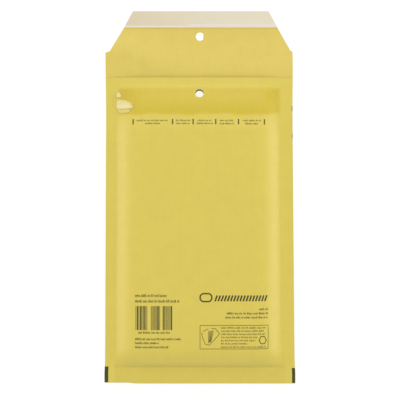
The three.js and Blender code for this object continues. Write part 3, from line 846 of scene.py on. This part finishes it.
def plainShapes():
    # a badge with cut corners and a band of even slanted bars
    b, s = printLayout["badge"], printLayout["slants"]
    left, right, foot, top, cut = b["left"], b["right"], b["foot"], b["top"], b["cut"]
    corners = [(left + cut, foot), (right - cut, foot), (right, foot + cut), (right, top - cut),
               (right - cut, top), (left + cut, top), (left, top - cut), (left, foot + cut)]
    places = np.linspace(s["left"], s["right"] - s["lean"], s["count"])
    bars = [stroke(x, s["foot"], x + s["lean"], s["top"], s["width"]) for x in places]
    return np.concatenate([outline(corners, b["width"])] + bars)


def drawing():
    # a tilted open envelope in outline with a hatched sheet standing in it
    p, h = printLayout, printLayout["hatch"]
    lines = [outline(p["openFlap"], p["openFlapWidth"], False),
             outline(p["tilted"], p["tiltedWidth"], False)]
    for k in range(h["count"]):
        foot = [start + step * k for start, step in zip(h["foot"], h["footStep"])]
        top = [start + step * k for start, step in zip(h["top"], h["topStep"])]
        lines.append(stroke(*foot, *top, h["width"]))
    return np.concatenate(lines)


def printBlocks():
    # all blocks, each with how thin its ink lies
    p = printLayout
    left, right, foot, top = [p["box"][key] for key in ("left", "right", "foot", "top")]
    frameCorners = [(left, foot), (right, foot), (right, top), (left, top)]
    ticks = [stroke(x, p["tickV"][0], x, p["tickV"][1], p["tickWidth"]) for x in p["tickX"]]
    upper = [unreadableLine(*line) for line in p["upperLines"]]
    lower = [unreadableLine(*line) for line in p["leftLines"] + p["rightLines"]]
    boxed = [unreadableLine(*line, weight=0.85) for line in p["boxLines"]]
    boxed += [outline(frameCorners, p["box"]["width"]), outline(p["ring"], p["ringWidth"])]
    marks = [edgeMark(*mark) for mark in p["marks"]]
    blocksOf = dict(ticks=ticks, upper=upper, lower=lower, boxed=boxed, drawing=[drawing()],
                    stripes=[stripeBlocks()], badge=[plainShapes()], marks=marks)
    groups = [(inkThin[key], blocks) for key, blocks in blocksOf.items()]
    corners = np.concatenate([block for _, blocks in groups for block in blocks])
    thin = np.concatenate([np.full(len(block), value) for value, blocks in groups for block in blocks])
    return corners, thin


def buildPrint():
    # each block is a thin closed prism: its four corners at two heights above the near ply
    corners, thin = printBlocks()
    x, v = corners[..., 0], corners[..., 1]
    z = nearHeight(x, v) + paper["thickness"] / 2 + ink["lift"]
    low = np.stack([x, v, z], axis=-1)
    vertices = np.concatenate([low, low + [0, 0, ink["thickness"]]], axis=1).reshape(-1, 3)
    sides = np.array([[4, 5, 6, 7], [3, 2, 1, 0], [0, 1, 5, 4], [1, 2, 6, 5], [2, 3, 7, 6], [3, 0, 4, 7]])
    faces = (np.arange(len(corners))[:, None, None] * 8 + sides).reshape(-1, 4)
    piece = makePiece("print_ink", vertices, [faces], flexoInk(), {"thinInk": np.repeat(thin, 8)})
    print("print", len(corners))


buildSheet()
buildFilm()
buildGlue()
buildStrip()
buildSeal()
buildPrint()

# Floor, light and camera
studio = dict(
    cameraHeight=605.0, cameraX=0.07, cameraY=-2.4, viewWidth=293.3, viewLevel=5.0,
    sensorWidth=36.0, nearest=50.0, farthest=60000.0,
    floorSize=60000.0, floorDrop=0.02, floorGlow=0.87,
    skyLight=0.685, sweepLight=0.94, sweepFoot=0.03, sweepTop=0.42)
lamps = dict(
    left=dict(at=(-900, 40, 330), size=(1000, 420), power=1.75),
    right=dict(at=(900, 40, 330), size=(1000, 420), power=1.9),
    head=dict(at=(100, 1000, 800), size=(1200, 600), power=3.6))


def buildStudio():
    # a pale floor that gives most of its own light, so that it stays white with a trace of shadow,
    # a white backdrop, three softboxes turned to the middle, and a camera straight above
    scene = bpy.context.scene
    half = studio["floorSize"] / 2 * mm
    mesh = bpy.data.meshes.new("paleFloor")
    corners = [(-half, -half, 0), (half, -half, 0), (half, half, 0), (-half, half, 0)]
    mesh.from_pydata(corners, [], [(0, 1, 2, 3)])
    floor = bpy.data.objects.new("paleFloor", mesh)
    scene.collection.objects.link(floor)
    material, tree, shader = newMaterial("paleFloorPaint")
    shader.inputs["Base Color"].default_value = linear("#707070")
    shader.inputs["Roughness"].default_value = 0.9
    shader.inputs["Specular IOR Level"].default_value = 0.1
    shader.inputs["Emission Color"].default_value = linear("#FFFFFF")
    shader.inputs["Emission Strength"].default_value = studio["floorGlow"]
    mesh.materials.append(material)
    floor.location.z = -studio["floorDrop"] * mm

    world = scene.world or bpy.data.worlds.new("studioWorld")
    scene.world = world
    world.use_nodes = True
    tree = world.node_tree
    background = tree.nodes["Background"]
    background.inputs["Color"].default_value = linear("#FFFFFF")
    # the backdrop is white at the floor and fades to a softer ceiling: upwards is 0 for a level ray
    # and 1 for one straight up
    upwards = addNode(tree, "ShaderNodeSeparateXYZ",
                      {"Vector": addNode(tree, "ShaderNodeTexCoord").outputs["Generated"]}).outputs["Z"]
    sweep = addNode(tree, "ShaderNodeMapRange", {
        "Value": upwards, "From Min": studio["sweepFoot"], "From Max": studio["sweepTop"],
        "To Min": studio["sweepLight"], "To Max": studio["skyLight"]}, interpolation_type="SMOOTHSTEP")
    tree.links.new(sweep.outputs["Result"], background.inputs["Strength"])

    for name, lamp in lamps.items():
        data = bpy.data.lights.new(name + "Softbox", "AREA")
        data.shape, data.size, data.size_y = "RECTANGLE", lamp["size"][0] * mm, lamp["size"][1] * mm
        data.energy = lamp["power"]
        box = bpy.data.objects.new(name + "Softbox", data)
        scene.collection.objects.link(box)
        box.location = [c * mm for c in lamp["at"]]
        box.rotation_euler = (-box.location).to_track_quat("-Z", "Y").to_euler()

    eye = bpy.data.cameras.new("viewCamera")
    distance = studio["cameraHeight"] - studio["viewLevel"]  # the view is viewWidth wide at viewLevel
    eye.sensor_width = studio["sensorWidth"]
    eye.lens = studio["sensorWidth"] * distance / studio["viewWidth"]
    eye.clip_start, eye.clip_end = studio["nearest"] * mm, studio["farthest"] * mm
    camera = bpy.data.objects.new("viewCamera", eye)
    camera.location = (studio["cameraX"] * mm, studio["cameraY"] * mm, studio["cameraHeight"] * mm)
    scene.collection.objects.link(camera)
    scene.camera = camera
    scene.view_settings.view_transform = "Standard"
    print("studio ready")


buildStudio()
